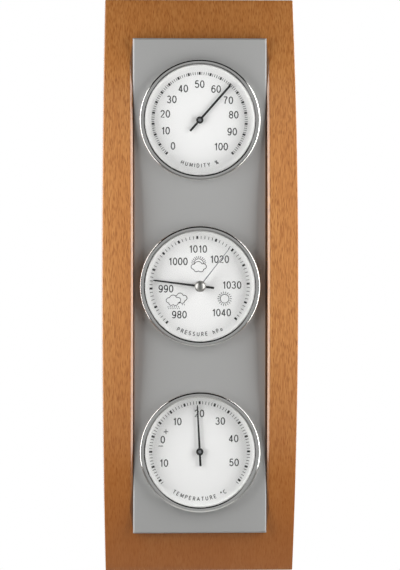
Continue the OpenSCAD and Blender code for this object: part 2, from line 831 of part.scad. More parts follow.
// Toothed sector with its arbor, and a tail whose pin bears on the rocking shaft's long arm
module baro_sector() {
    color(BRASS) translate([-gear_c, 0, 0]) union() {
        translate([0, 0, sector_z]) linear_extrude(sector_t)
            polygon(concat([[0, 0]], teeth(sector_teeth, sector_r, -10, 3, 0.5)));
        ring(0, sector_hub_r, sector_z, sector_z + sector_t);
        ring(0, arbor_r, low_plate_z + 2 * end_gap, top_plate_z + bearing_t - 2 * end_gap);
        translate([-tail_len - tail_w / 2, -tail_w / 2, sector_z])
            cube([tail_len + tail_w / 2, tail_w, sector_t]);
        translate([-tail_len, 0, 0]) ring(0, tail_pin_r, sector_z, tail_pin_top);
    }
}

// Pointer arbor with its pinion and the hairspring's collet
module baro_arbor() {
    color(STEEL) union() {
        ring(0, arbor_r, low_plate_z + 2 * end_gap, arbor_top);
        translate([0, 0, sector_z - pinion_over]) linear_extrude(sector_t + 2 * pinion_over)
            polygon(teeth(pinion_teeth, pinion_r, 0, pinion_teeth - 1, 0));
        ring(0, spring_collet_r, spring_z - 2 * end_gap, spring_z + spring_w + 2 * end_gap);
    }
}

module baro_hairspring() {
    color(BLUED) translate([0, 0, spring_z]) spiral(spring_r0, spring_r1, spring_turns, spring_t, spring_w);
}

// Slit pin that holds the hairspring's outer end
module baro_hairspring_stud() {
    slit_w = spring_t + 2 * end_gap;
    color(BRASS) translate([spring_r1, 0, 0]) difference() {
        ring(0, stud_r, spring_z, top_plate_z + bearing_t);
        translate([-slit_w / 2, -CUT, spring_z - CUT]) cube([slit_w, CUT + 0.1, CUT + spring_w + end_gap]);
    }
}

// Slotted screw in the base plate, reached through the case's back
module baro_calibration_screw() {
    low_z = -case_depth - cal_stand;
    color(STEEL) translate([0, cal_y, 0]) difference() {
        ring(0, cal_r, low_z, bridge_z - end_gap);
        translate([-cal_r - CUT, -cal_slot_w / 2, low_z - CUT])
            cube([2 * (cal_r + CUT), cal_slot_w, cal_slot_h + CUT]);
    }
}

wood_body();
front_plate();
hanger_plate();
hanger_screws();
at_dial(1) strap();  // hygro_strap
at_dial(0) strap();  // baro_strap
at_dial(-1) strap();  // thermo_strap
strap_screws();
at_dial(1) vented_case();  // hygro_case
at_dial(1) bezel();  // hygro_bezel
at_dial(1) glass(0);  // hygro_glass
at_dial(1) spacer();  // hygro_spacer
at_dial(1) dial(bush_r + press_gap);  // hygro_dial
at_dial(1) bush();  // hygro_bush
at_dial(1) clamp();  // hygro_clamp
at_dial(1) clamp_screws();  // hygro_clamp_screws
at_dial(1) adjuster();  // hygro_adjuster
at_dial(1) coil(HUMIDITY_STRIP);  // hygro_coil
at_dial(1) coil_arbor();  // hygro_arbor
at_dial(1) hub();  // hygro_hub
at_dial(1) pointer(hygro_rest, 1.4);  // hygro_pointer
at_dial(0) closed_case();  // baro_case
at_dial(0) bezel();  // baro_bezel
at_dial(0) glass(stem_r + run_gap);  // baro_glass
at_dial(0) spacer();  // baro_spacer
at_dial(0) dial(sector_hub_r);  // baro_dial
at_dial(0) baro_base_plate();
at_dial(0) baro_base_screws();
at_dial(0) baro_capsule_bridge();
at_dial(0) baro_bridge_rivet();
at_dial(0) baro_capsule();
at_dial(0) baro_pillars();
at_dial(0) baro_lower_plate();
at_dial(0) baro_top_plate();
at_dial(0) baro_plate_nuts();
at_dial(0) baro_rocker();
at_dial(0) baro_sector();
at_dial(0) baro_arbor();
at_dial(0) baro_hairspring();
at_dial(0) baro_hairspring_stud();
at_dial(0) hub();  // baro_hub
at_dial(0) pointer(baro_rest, 1);  // baro_pointer
at_dial(0) baro_set_hand();
at_dial(0) baro_set_knob();
at_dial(0) baro_calibration_screw();
at_dial(-1) vented_case();  // thermo_case
at_dial(-1) bezel();  // thermo_bezel
at_dial(-1) glass(0);  // thermo_glass
at_dial(-1) spacer();  // thermo_spacer
at_dial(-1) dial(bush_r + press_gap);  // thermo_dial
at_dial(-1) bush();  // thermo_bush
at_dial(-1) clamp();  // thermo_clamp
at_dial(-1) clamp_screws();  // thermo_clamp_screws
at_dial(-1) adjuster();  // thermo_adjuster
at_dial(-1) coil(BIMETAL);  // thermo_coil
at_dial(-1) coil_arbor();  // thermo_arbor
at_dial(-1) hub();  // thermo_hub
at_dial(-1) pointer(thermo_rest, 1);  // thermo_pointer
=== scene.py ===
"""Looks of a wall weather station with a bowed beech body and three glazed dials, in metres."""
import math

import bmesh
import bpy
import numpy as np
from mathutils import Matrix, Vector


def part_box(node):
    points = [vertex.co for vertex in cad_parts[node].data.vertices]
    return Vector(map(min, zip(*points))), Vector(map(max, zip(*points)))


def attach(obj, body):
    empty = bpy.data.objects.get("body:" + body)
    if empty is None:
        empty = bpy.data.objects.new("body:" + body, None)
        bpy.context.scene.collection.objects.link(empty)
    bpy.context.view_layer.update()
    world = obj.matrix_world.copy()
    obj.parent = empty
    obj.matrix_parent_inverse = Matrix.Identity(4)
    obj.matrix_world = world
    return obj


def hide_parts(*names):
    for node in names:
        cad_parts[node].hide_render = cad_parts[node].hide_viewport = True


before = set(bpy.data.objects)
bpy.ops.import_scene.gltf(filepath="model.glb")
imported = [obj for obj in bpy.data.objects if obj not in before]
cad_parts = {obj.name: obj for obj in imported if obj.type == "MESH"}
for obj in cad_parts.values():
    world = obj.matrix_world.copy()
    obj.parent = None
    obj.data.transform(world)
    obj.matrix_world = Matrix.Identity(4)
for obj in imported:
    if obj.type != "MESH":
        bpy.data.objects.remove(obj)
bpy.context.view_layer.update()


# Wooden body.
# One piece of steamed beech, planed flat at the back and bowed from top to bottom. A flat slot is milled
# down its front, and three bores go through it. Its arrises are sanded round, under a clear satin lacquer.

SIDE_BOW = 0.00245
FRONT_BOW = 0.018
END_ROUNDING = 0.0007
SIDE_ARRIS = 0.0006
SLOT_EASE = 0.0008
SLOT_BEVEL = 0.0012
BEVEL_TILT = math.radians(35)
SLOT_GAP = 0.0003
# edge loops this far inside the flat front keep its shading flat
FLAT_HOLD = 0.0004
BORE_R = 0.0379
STRAP_ROOM = 0.0005
HANGER_ROOM = 0.0002
# edges of the wood over this many degrees are sharp
WOOD_SMOOTH = 25
# the pocket for the head of the wall screw, and all cutters from behind, reach past the wall plane
PAST_WALL = 0.01
POCKET_LOW = (-0.0065, -0.008, -0.012)
POCKET_HIGH = (0.0065, 0.001, 0.0054)
# the cutter of a bore goes this far either way
BORE_CUT_MM = 60
# sizes of the wood's figure in millimetres along x, y and z
BAND_MM = (14, 14, 160)
FIBRE_MM = (0.7, 1.6, 24)
RAY_MM = (0.45, 1.0, 6.0)
SPINDLE_MM = (0.8, 1.6, 6.0)
# turn of the rays and spindles about x, y and z, in radians
RAY_LEAN = (0, -0.1, 0)
# heights between which a painted shade deepens toward either end, where the bowed front takes less light
LOW_PAINTED_SHADE = (-0.17, -0.357)
TOP_PAINTED_SHADE = (-0.09, 0.021)


def linear(code):
    """sRGB hex to linear RGBA: c / 12.92 up to 0.04045, and ((c + 0.055) / 1.055) ** 2.4 above it."""
    c = np.array([int(code[i : i + 2], 16) for i in (1, 3, 5)]) / 255
    return (*np.where(c <= 0.04045, c / 12.92, ((c + 0.055) / 1.055) ** 2.4), 1.0)


def node(material, kind, inputs=(), **settings):
    """A new shader node. settings are its options, and inputs pairs a socket with a value or an output."""
    made = material.node_tree.nodes.new("ShaderNode" + kind)
    for key, value in settings.items():
        setattr(made, key, value)
    for socket, value in inputs:
        if isinstance(value, bpy.types.NodeSocket):
            material.node_tree.links.new(value, made.inputs[socket])
        else:
            made.inputs[socket].default_value = value
    return made


def new_material(name, constants):
    """A material whose Principled shader has these constants on its own sockets."""
    material = bpy.data.materials.new(name)
    material.use_nodes = True
    for socket, value in constants.items():
        material.node_tree.nodes["Principled BSDF"].inputs[socket].default_value = value
    return material


def feed(material, socket, output):
    """Links a pattern to a socket of the material's Principled shader."""
    material.node_tree.links.new(output, material.node_tree.nodes["Principled BSDF"].inputs[socket])


def cells(material, size_mm, turn=(0, 0, 0)):
    """Object coordinates in which one unit is a cell of this size in millimetres along x, y and z."""
    where = node(material, "TexCoord").outputs["Object"]
    scale = [1000 / s for s in size_mm]
    return node(material, "Mapping", [("Vector", where), ("Rotation", turn), ("Scale", scale)]).outputs[0]


def mix(material, factor, a, b):
    """Colour a * (1 - factor) + b * factor."""
    return node(material, "Mix", [(0, factor), (6, a), (7, b)], data_type="RGBA").outputs[2]


def noise(material, size_mm, detail=2.0, turn=(0, 0, 0)):
    """Fractal noise whose largest cells have this size in millimetres along x, y and z."""
    where = cells(material, size_mm, turn)
    inputs = [("Vector", where), ("Scale", 1.0), ("Detail", detail)]
    return node(material, "TexNoise", inputs).outputs[0]


def ramp(material, value, low, high, at_low=0.0, at_high=1.0, kind="LINEAR"):
    """at_low + (at_high - at_low) * (value - low) / (high - low), held at both ends."""
    inputs = [(0, value), (1, low), (2, high), (3, at_low), (4, at_high)]
    return node(material, "MapRange", inputs, interpolation_type=kind).outputs[0]


def tint(material, pattern, first, second):
    """Base colour between two sRGB codes, by a pattern."""
    feed(material, "Base Color", mix(material, pattern, linear(first), linear(second)))


def roughen(material, pattern, least, most):
    """Roughness between two values, by a pattern."""
    feed(material, "Roughness", ramp(material, pattern, 0, 1, least, most))


def bump(material, pattern, strength, height):
    """Relief of this height in metres, by a pattern."""
    made = node(material, "Bump", [("Strength", strength), ("Distance", height), ("Height", pattern)])
    feed(material, "Normal", made.outputs[0])


def arc(cx, cy, rx, ry, start, stop, steps=20):
    """Points of part of an ellipse: (cx + rx cos a, cy + ry sin a) for a from start to stop in degrees.

    The middle and the radii are numbers, or arrays that give an arc for each entry.
    """
    a = np.radians(np.linspace(start, stop, steps + 1))
    cx, cy, rx, ry = (np.asarray(v)[..., None] for v in (cx, cy, rx, ry))
    return np.stack([cx + rx * np.cos(a), cy + ry * np.sin(a)], -1)


def quads(rows, columns, closed_rows=False, closed_columns=True):
    """Faces of a grid, (i, j) with (i, j + 1), (i + 1, j + 1) and (i + 1, j), closed either way or not."""
    i, j = np.meshgrid(
        np.arange(rows - (not closed_rows)), np.arange(columns - (not closed_columns)), indexing="ij"
    )
    k, n = (i + 1) % rows, (j + 1) % columns
    return np.stack([i * columns + j, i * columns + n, k * columns + n, k * columns + j], -1).reshape(-1, 4)


def shell(name, points, faces, material, smooth_to=35):
    """A closed mesh: doubles merged, faces turned outwards, and edges over smooth_to degrees kept sharp."""
    mesh = bpy.data.meshes.new(name)
    mesh.from_pydata(np.asarray(points).reshape(-1, 3).tolist(), [], [list(f) for f in faces])
    edit = bmesh.new()
    edit.from_mesh(mesh)
    bmesh.ops.remove_doubles(edit, verts=edit.verts, dist=1e-7)
    bmesh.ops.dissolve_degenerate(edit, edges=edit.edges, dist=1e-7)
    bmesh.ops.recalc_face_normals(edit, faces=edit.faces)
    edit.to_mesh(mesh)
    edit.free()
    mesh.shade_smooth()
    mesh.set_sharp_from_angle(angle=math.radians(smooth_to))
    if material:
        mesh.materials.append(material)
    piece = bpy.data.objects.new(name, mesh)
    bpy.context.scene.collection.objects.link(piece)
    return piece


def block(low, high):
    """A box between two corners, as a cutter."""
    corners = [(x, y, z) for x in (low[0], high[0]) for y in (low[1], high[1]) for z in (low[2], high[2])]
    sides = [(0, 1, 3, 2), (4, 6, 7, 5), (0, 4, 5, 1), (2, 3, 7, 6), (0, 2, 6, 4), (1, 5, 7, 3)]
    return shell("cutter", corners, sides, None)


def recess(low, high, room):
    """A cutter for a piece with this box, wider than it by room at its sides and open toward the wall."""
    return block((low[0] - room, low[1], low[2] - room), (high[0] + room, PAST_WALL, high[2] + room))


def turned(name, profile_mm, centre, material, steps=192, closed=True):
    """A profile of (r, h) carried round an axis: x = cx + r sin a, y = cy - h, z = cz + r cos a."""
    profile = np.asarray(profile_mm) / 1000
    a = np.radians(np.linspace(0, 360, steps, endpoint=False))[:, None]
    r, h = profile[:, 0][None], profile[:, 1][None]
    x, y, z = r * np.sin(a), -h + 0 * a, r * np.cos(a)
    points = np.stack([centre[0] + x, centre[1] + y, centre[2] + z], -1)
    faces = quads(steps, len(profile), closed_rows=True, closed_columns=closed)
    return shell(name, points, faces, material)


def cut(piece, cutters, smooth_to):
    """The piece with these closed shells taken out of it, as one plain mesh with its new edges sharp."""
    for tool in cutters:
        piece.modifiers.new("cut", "BOOLEAN").object = tool
    graph = bpy.context.evaluated_depsgraph_get()
    mesh = bpy.data.meshes.new_from_object(piece.evaluated_get(graph))
    piece.modifiers.clear()
    mesh.shade_smooth()
    mesh.set_sharp_from_angle(angle=math.radians(smooth_to))
    piece.data = mesh
    for tool in cutters:
        bpy.data.objects.remove(tool)


def wood_sections(z):
    """Sections of the body at heights z above its middle, each a closed ring of (x, depth) points.

    Half width w = W / 2 + bow, thickness t = T + bow, slot floor f = min(F, t), bow = sqrt(R^2 - z^2) - R.
    At a height e inside the ends' rounding, END_ROUNDING - sqrt(END_ROUNDING^2 - e^2) comes off each side.
    At a distance u from the flat front, the slot's arris has fallen by tan(tilt) * u^2 / (2 ease), and by
    tan(tilt) * (u - ease / 2) beyond its ease. It shrinks with t - f where the slot runs out.
    """
    e = np.clip(END_ROUNDING - (wood_half - abs(z)), 0, END_ROUNDING)
    inset = END_ROUNDING - np.sqrt(END_ROUNDING**2 - e**2)
    w = wood_size[0] / 2 + bow(z, SIDE_BOW) - inset
    t = wood_size[1] + bow(z, FRONT_BOW) - inset
    f = np.minimum(slot_floor, t)
    u = np.append(np.linspace(0, SLOT_EASE, 5), SLOT_EASE + SLOT_BEVEL)
    drop = math.tan(BEVEL_TILT) * np.where(u < SLOT_EASE, u**2 / (2 * SLOT_EASE), u - SLOT_EASE / 2)
    share = np.minimum(1, (t - f) / u[-1])[:, None]
    arris = np.stack([slot_half + (u[-1] - u) * share, t[:, None] - drop * share], -1)
    a = 0 * z + SIDE_ARRIS
    back = np.stack([np.stack([w * k, inset], -1) for k in (0, 0.4, 0.8)], 1)
    front = np.stack([np.stack([x, t], -1) for x in (w - a - FLAT_HOLD, arris[:, 0, 0] + FLAT_HOLD)], 1)
    floor = np.stack([np.stack([slot_half * k + 0 * z, f], -1) for k in (1, 0.5, 0)], 1)
    side = np.concatenate(
        [
            back,
            arc(w - a, inset + a, a, a, -90, 0, 4),
            arc(w - a, t - a, a, a, 0, 90, 6),
            front,
            arris,
            floor,
        ],
        1,
    )
    return np.concatenate([side, side[:, -2:0:-1] * (-1, 1)], 1)


def bow_radius(rise):
    """Radius of an arc that rises this much over the body's height: (half^2 + rise^2) / (2 rise)."""
    return (wood_half**2 + rise**2) / (2 * rise)


def bow(z, rise):
    """Fall of that arc at z above its middle: sqrt(R^2 - z^2) - R."""
    radius = bow_radius(rise)
    return np.sqrt(radius**2 - z**2) - radius


wood_low, wood_high = (np.array(c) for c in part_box("wood_body"))
wood_size = wood_high - wood_low
wood_half = wood_size[2] / 2
wood_mid = wood_high[2] - wood_half
plate_low, plate_high = (np.array(c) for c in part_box("front_plate"))
slot_half = plate_high[0] + SLOT_GAP
slot_floor = -plate_high[1]
dials = ("hygro", "baro", "thermo")
centres = {d: (0.0, plate_low[1], sum(c[2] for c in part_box(d + "_dial")) / 2) for d in dials}

# Beech shows its rays as fine darker spindles, under 1 mm wide and a few mm high, over long soft bands of
# growth. The lacquer makes it a warm orange-brown; a painted shade darkens it toward both ends
beech = new_material("beech, steamed and lacquered", {"Coat Roughness": 0.12, "Coat IOR": 1.55})
bands = ramp(beech, noise(beech, BAND_MM, 3.0), 0.35, 0.65)
fibres = noise(beech, FIBRE_MM)
fibre_marks = ramp(beech, fibres, 0.38, 0.72, 0.0, 0.6)
rays = ramp(beech, noise(beech, RAY_MM, 1.0, RAY_LEAN), 0.48, 0.68, 0.0, 0.85)
spindles = node(beech, "TexVoronoi", [("Vector", cells(beech, SPINDLE_MM, RAY_LEAN)), ("Scale", 1.0)])
spindle_marks = ramp(beech, spindles.outputs["Distance"], 0.36, 0.16, 0.0, 0.75)
object_z = node(beech, "SeparateXYZ", [(0, node(beech, "TexCoord").outputs["Object"])]).outputs["Z"]
# Painted shade: the wood darkens toward its low and top ends, standing in for the light that falls off there
low_painted_shade = ramp(beech, object_z, *LOW_PAINTED_SHADE, 0.0, 0.72, "SMOOTHSTEP")
top_painted_shade = ramp(beech, object_z, *TOP_PAINTED_SHADE, 0.0, 0.3, "SMOOTHSTEP")
wood_tone = mix(beech, bands, linear("#b97c42"), linear("#c0864b"))
# the grain's marks, then the painted shade toward the low and top ends
for pattern, shade in (
    (fibre_marks, "#a66730"), (rays, "#965a29"), (spindle_marks, "#854d1f"), (low_painted_shade, "#8a4805"),
    (top_painted_shade, "#7d4318"),
):
    wood_tone = mix(beech, pattern, wood_tone, linear(shade))
# End grain drinks the lacquer, so that it dries darker and dull
facing = node(beech, "SeparateXYZ", [(0, node(beech, "NewGeometry").outputs["Normal"])])
upright = node(beech, "Math", [(0, facing.outputs["Z"])], operation="ABSOLUTE")
end_grain = ramp(beech, upright.outputs[0], 0.85, 0.97)
feed(beech, "Base Color", mix(beech, end_grain, wood_tone, linear("#855229")))
feed(beech, "Roughness", ramp(beech, end_grain, 0, 1, 0.4, 0.75))
feed(beech, "Coat Weight", ramp(beech, end_grain, 0, 1, 1.0, 0.1))
feed(beech, "Specular IOR Level", ramp(beech, end_grain, 0, 1, 0.2, 0.05))
bump(beech, fibres, 0.2, 0.00003)

# Heights of the rings: even ones, one where the slot runs out, and six in the rounding of either end
front_radius = bow_radius(FRONT_BOW)
slot_end = math.sqrt(front_radius**2 - (front_radius - (wood_size[1] - slot_floor)) ** 2)
end_steps = END_ROUNDING * (1 - np.cos(np.radians(np.linspace(0, 90, 6))))
heights = np.linspace(0, wood_half - END_ROUNDING, 70)[:-1]
heights = np.concatenate([heights, [slot_end], wood_half - end_steps])
heights = np.unique(np.concatenate([-heights, heights]).round(8))
rings = wood_sections(heights)
ring_size = rings.shape[1]
wood_points = np.stack([rings[..., 0], -rings[..., 1], heights[:, None] + wood_mid + 0 * rings[..., 0]], -1)
wood_faces = quads(len(heights), ring_size).tolist()
wood_faces.append(list(range(ring_size)))
wood_faces.append(list(range((len(heights) - 1) * ring_size, len(heights) * ring_size)))
body = shell("beech_body", wood_points, wood_faces, beech, WOOD_SMOOTH)
cutters = []
bore = [(0, -BORE_CUT_MM), (BORE_R * 1000, -BORE_CUT_MM), (BORE_R * 1000, BORE_CUT_MM), (0, BORE_CUT_MM)]
for d in dials:
    cutters.append(turned("cutter", bore, centres[d], None, closed=False))
    strap_low, strap_high = (np.array(c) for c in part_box(d + "_strap"))
    cutters.append(recess(strap_low, strap_high, STRAP_ROOM))
hanger_low, hanger_high = (np.array(c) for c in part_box("hanger_plate"))
cutters.append(recess(hanger_low, hanger_high, HANGER_ROOM))
cutters.append(block(POCKET_LOW, POCKET_HIGH))
cut(body, cutters, WOOD_SMOOTH)
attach(body, "housing")
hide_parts("wood_body")


# Front plate.
# A 4 mm aluminium plate with a chamfer round its front edge, sprayed in fine matt silver. It lies in the
# slot, and the flanges of the three cases hold it.

SILVER_GRAIN_MM = (0.5, 0.5, 0.5)


def finish(material, *names):
    """Gives CAD nodes this material, in their own slots."""
    for name in names:
        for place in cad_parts[name].material_slots:
            place.material = material


# Metal flake in a clear matt coat: grey and soft, and it takes the tone of what it faces
silver = new_material("silver lacquer on aluminium, matt", {"Metallic": 0.15, "Roughness": 0.5})
grain = noise(silver, SILVER_GRAIN_MM)
tint(silver, grain, "#969695", "#a2a2a1")
bump(silver, grain, 0.3, 0.00003)
finish(silver, "front_plate")


# Hanger, straps and their screws.
# The keyhole plate and the wood screws are zinc-plated steel. The straps are cut from bright rolled spring
# steel and bear on the backs of the cases.

# Zinc plating: bright grey with a faint blue and small cloudy spangles
zinc = new_material("steel, zinc plated", {"Metallic": 1.0})
spangle = node(zinc, "TexVoronoi", [("Vector", cells(zinc, (2.2, 2.2, 2.2))), ("Scale", 1.0)])
spangle_tone = node(zinc, "SeparateColor", [("Color", spangle.outputs["Color"])])
tint(zinc, spangle_tone.outputs[0], "#b4b9bf", "#c9ccd0")
roughen(zinc, spangle_tone.outputs[1], 0.24, 0.38)
finish(zinc, "hanger_plate", "hanger_screws", "strap_screws")

# Rolled spring steel: darker, with fine lines along the strip
spring_steel = new_material("spring steel, rolled", {"Metallic": 1.0})
rolling = noise(spring_steel, (30, 3, 0.25), 3.0)
tint(spring_steel, rolling, "#85898f", "#a2a5a9")
roughen(spring_steel, rolling, 0.25, 0.45)
finish(spring_steel, "hygro_strap", "baro_strap", "thermo_strap")


# Cases.
# Three cans spun from tin-plated steel. Each lies with its flange on the plate and holds a whole instrument.

tinplate = new_material("steel, tin plated and spun", {"Metallic": 1.0})
spun = noise(tinplate, (6, 6, 6), 4.0)
tint(tinplate, spun, "#a4a7ab", "#bfc1c3")
roughen(tinplate, spun, 0.22, 0.42)
finish(tinplate, "hygro_case", "baro_case", "thermo_case")


# Movements.
# Turned and pressed brass and steel, held in the cases: adjusters, clamps and coils, and the barometer's
# plates, pillars, capsule, sector and springs. They show through the cases' air holes and adjuster holes.

# Rolled and turned brass, lacquered: warm yellow with faint tool marks
brass = new_material("brass, rolled and turned", {"Metallic": 1.0})
tool_marks = noise(brass, (0.2, 2.0, 1.0), 3.0)
tint(brass, tool_marks, "#b98f45", "#d8b468")
roughen(brass, tool_marks, 0.2, 0.4)
finish(
    brass, "hygro_bush", "hygro_clamp", "hygro_adjuster", "thermo_bush", "thermo_clamp", "thermo_adjuster",
    "baro_base_plate", "baro_bridge_rivet", "baro_capsule", "baro_pillars", "baro_lower_plate",
    "baro_top_plate", "baro_sector", "baro_hairspring_stud",
)

# Turned steel: arbors, hubs and small screws
turned_steel = new_material("steel, turned", {"Metallic": 1.0})
turning = noise(turned_steel, (0.5, 0.15, 0.5))
tint(turned_steel, turning, "#8f9296", "#a9acb0")
roughen(turned_steel, turning, 0.2, 0.38)
finish(
    turned_steel, "hygro_clamp_screws", "thermo_clamp_screws", "baro_base_screws", "baro_plate_nuts",
    "baro_calibration_screw", "baro_capsule_bridge", "baro_rocker", "hygro_arbor", "baro_arbor",
    "thermo_arbor", "hygro_hub", "baro_hub", "thermo_hub",
)

# The humidity strip is metal foil with a tan coat that swells. The other coil is bare bimetal, and the
# hairspring is steel blued by heat
humidity_strip = new_material("coated foil strip", {"Roughness": 0.6})
coat = noise(humidity_strip, (1, 1, 1), 3.0)
tint(humidity_strip, coat, "#a38f68", "#c3b391")
finish(humidity_strip, "hygro_coil")
finish(spring_steel, "thermo_coil")
blued = new_material("steel, blued", {"Metallic": 1.0, "Roughness": 0.25})
heat = noise(blued, (2, 2, 2))
tint(blued, heat, "#27406e", "#4b6596")
finish(blued, "baro_hairspring")


# Dials.
# Aluminium discs sprayed matt white. The scales, numbers and weather signs are screen-printed on them in
# dark grey ink, which is built as a thin layer.

# Millimetres, as are all shapes of the print. It stands PRINT_T over the dial and reaches PRINT_SINK into it
PRINT_T = 0.03
PRINT_SINK = 0.01
TICK_R = {"hygro": (30.0, 31.9), "baro": (31.3, 33.3), "thermo": (31.5, 33.6)}
LETTER_R = {"hygro": 30.1, "baro": 31.9, "thermo": 31.5}
HEAVY_EVERY = 5
HEAVY_TICK_W = 1.3
LIGHT_TICK_W = 0.36
DIGIT_H = 4.8
DIGIT_GAP = 0.16
INK_W = 0.68
SIGN_W = 0.42
LETTER_H = 2.4
LETTER_W = 0.42
LETTER_GAP = 0.55


def line(*points):
    """A straight stroke, or one with corners, through these points."""
    return np.array(points, float)


# the round of P and R
BOWL = np.concatenate([line((0.05, 1)), arc(0.28, 0.74, 0.26, 0.26, 90, -90), line((0.05, 0.48))])
# Each sign is its width and its strokes, in a cell one unit high. The numbers are a plain light sans serif.
SIGNS = {
    "0": (0.56, [arc(0.28, 0.5, 0.24, 0.46, 90, 450, 32)]),
    "1": (0.42, [line((0.30, 0.0), (0.30, 1.0)), arc(0.08, 1.0, 0.22, 0.22, 270, 350, 8)]),
    "2": (0.56, [np.concatenate([arc(0.27, 0.71, 0.22, 0.25, 170, -35), line((0.05, 0.04), (0.52, 0.04))])]),
    "3": (0.56, [arc(0.26, 0.735, 0.20, 0.225, 160, -90), arc(0.26, 0.275, 0.23, 0.235, 90, -165)]),
    "4": (0.56, [line((0.38, 0.0), (0.38, 0.96)), line((0.38, 0.96), (0.03, 0.27)),
                 line((0.03, 0.27), (0.54, 0.27))]),
    "5": (0.56, [line((0.48, 0.96), (0.13, 0.96)), line((0.13, 0.96), (0.07, 0.50)),
                 arc(0.27, 0.33, 0.23, 0.29, 140, -160, 24)]),
    "6": (0.56, [arc(0.28, 0.33, 0.23, 0.29, 0, 360, 28), arc(0.32, 0.46, 0.27, 0.50, 50, 190, 20)]),
    "7": (0.56, [line((0.05, 0.96), (0.51, 0.96)), arc(0.95, 0.02, 0.75, 1.10, 126, 180, 10)]),
    "8": (0.56, [arc(0.28, 0.74, 0.20, 0.22, 0, 360, 28), arc(0.28, 0.28, 0.23, 0.24, 0, 360, 28)]),
    "9": (0.56, [arc(0.28, 0.67, 0.23, 0.29, 0, 360, 28), arc(0.24, 0.54, 0.27, 0.50, 230, 370, 20)]),
    "+": (0.56, [line((0.03, 0.5), (0.53, 0.5)), line((0.28, 0.25), (0.28, 0.75))]),
    "-": (0.56, [line((0.03, 0.5), (0.53, 0.5))]),
    "H": (0.66, [line((0.05, 0), (0.05, 1)), line((0.61, 0), (0.61, 1)), line((0.05, 0.5), (0.61, 0.5))]),
    "U": (0.66, [np.concatenate([line((0.05, 1)), arc(0.33, 0.33, 0.28, 0.33, 180, 360), line((0.61, 1))])]),
    "M": (0.80, [line((0.05, 0), (0.05, 1)), line((0.05, 1), (0.4, 0.15)), line((0.4, 0.15), (0.75, 1)),
                 line((0.75, 1), (0.75, 0))]),
    "I": (0.10, [line((0.05, 0), (0.05, 1))]),
    "D": (0.68, [line((0.05, 0), (0.05, 1)),
                 np.concatenate([line((0.05, 1)), arc(0.2, 0.5, 0.43, 0.5, 90, -90), line((0.05, 0))])]),
    "T": (0.60, [line((0.3, 0), (0.3, 1)), line((0.0, 1), (0.6, 1))]),
    "Y": (0.60, [line((0.0, 1), (0.3, 0.45)), line((0.6, 1), (0.3, 0.45)), line((0.3, 0.45), (0.3, 0))]),
    "P": (0.58, [line((0.05, 0), (0.05, 1)), BOWL]),
    "R": (0.60, [line((0.05, 0), (0.05, 1)), line((0.30, 0.48), (0.58, 0)), BOWL]),
    "E": (0.55, [line((0.05, 0), (0.05, 1)), line((0.05, 1), (0.52, 1)), line((0.05, 0.5), (0.48, 0.5)),
                 line((0.05, 0), (0.52, 0))]),
    "S": (0.58, [np.concatenate([arc(0.29, 0.74, 0.22, 0.26, 30, 270),
                                 arc(0.29, 0.25, 0.24, 0.25, 90, -150)])]),
    "A": (0.68, [line((0, 0), (0.34, 1)), line((0.34, 1), (0.68, 0)), line((0.12, 0.33), (0.56, 0.33))]),
    "C": (0.70, [arc(0.38, 0.5, 0.34, 0.5, 50, 310)]),
    "h": (0.50, [line((0.05, 0), (0.05, 1)),
                 np.concatenate([arc(0.26, 0.4, 0.2, 0.26, 180, 0), line((0.46, 0))])]),
    "a": (0.50, [arc(0.24, 0.32, 0.2, 0.32, 0, 360), line((0.45, 0), (0.45, 0.66))]),
    "%": (0.80, [arc(0.17, 0.78, 0.14, 0.2, 0, 360), arc(0.63, 0.22, 0.14, 0.2, 0, 360),
                 line((0.62, 1), (0.18, 0))]),
    "*": (0.30, [arc(0.15, 0.83, 0.13, 0.16, 0, 360)]),
    " ": (0.45, []),
}


def stroke(path, width):
    """Both edges of a flat stroke, p - n w / 2 and p + n w / 2, with n square to the path at p."""
    along = np.gradient(path, axis=0)
    across = np.stack([-along[:, 1], along[:, 0]], 1) / np.linalg.norm(along, axis=1, keepdims=True)
    return np.stack([path - across * width / 2, path + across * width / 2], 1)


def straight_text(text, x, y, height, width):
    """Strokes of an upright line of text whose middle is at (x, y), in mm."""
    total = sum(SIGNS[c][0] for c in text) + DIGIT_GAP * (len(text) - 1)
    left = x - total * height / 2
    strokes = []
    for c in text:
        strokes += [stroke(p * height + (left, y - height / 2), width) for p in SIGNS[c][1]]
        left += (SIGNS[c][0] + DIGIT_GAP) * height
    return strokes


def curved_text(text, radius):
    """Strokes of text along the bottom of a circle: a letter at arc length s stands at s / radius."""
    total = (sum(SIGNS[c][0] for c in text) + LETTER_GAP * (len(text) - 1)) * LETTER_H
    at = -total / 2
    strokes = []
    for c in text:
        turn = (at + SIGNS[c][0] * LETTER_H / 2) / radius
        x = SIGNS[c][0] * LETTER_H / 2
        spin = np.array([[math.cos(turn), math.sin(turn)], [-math.sin(turn), math.cos(turn)]])
        for p in SIGNS[c][1]:
            strokes.append(stroke((p * LETTER_H - (x, radius + LETTER_H / 2)) @ spin, LETTER_W))
        at += (SIGNS[c][0] + LETTER_GAP) * LETTER_H
    return strokes


def tick(bearing, inner, outer, width):
    """A radial stroke at a bearing clockwise from straight up."""
    a = math.radians(bearing)
    way = np.array([math.sin(a), math.cos(a)])
    return stroke(np.array([way * inner, way * outer]), width)


def scale(dial, rest, step, first, last):
    """Ticks from first to last, step degrees apart, of which every HEAVY_EVERY-th is heavy."""
    strokes = []
    for i in range(first, last + 1):
        width = LIGHT_TICK_W if i % HEAVY_EVERY else HEAVY_TICK_W
        strokes.append(tick(rest + i * step, *TICK_R[dial], width))
    return strokes


def numbers(places):
    """Strokes of upright numbers, each with its middle at its own place in mm."""
    return [s for text, x, y in places for s in straight_text(text, x, y, DIGIT_H, INK_W)]


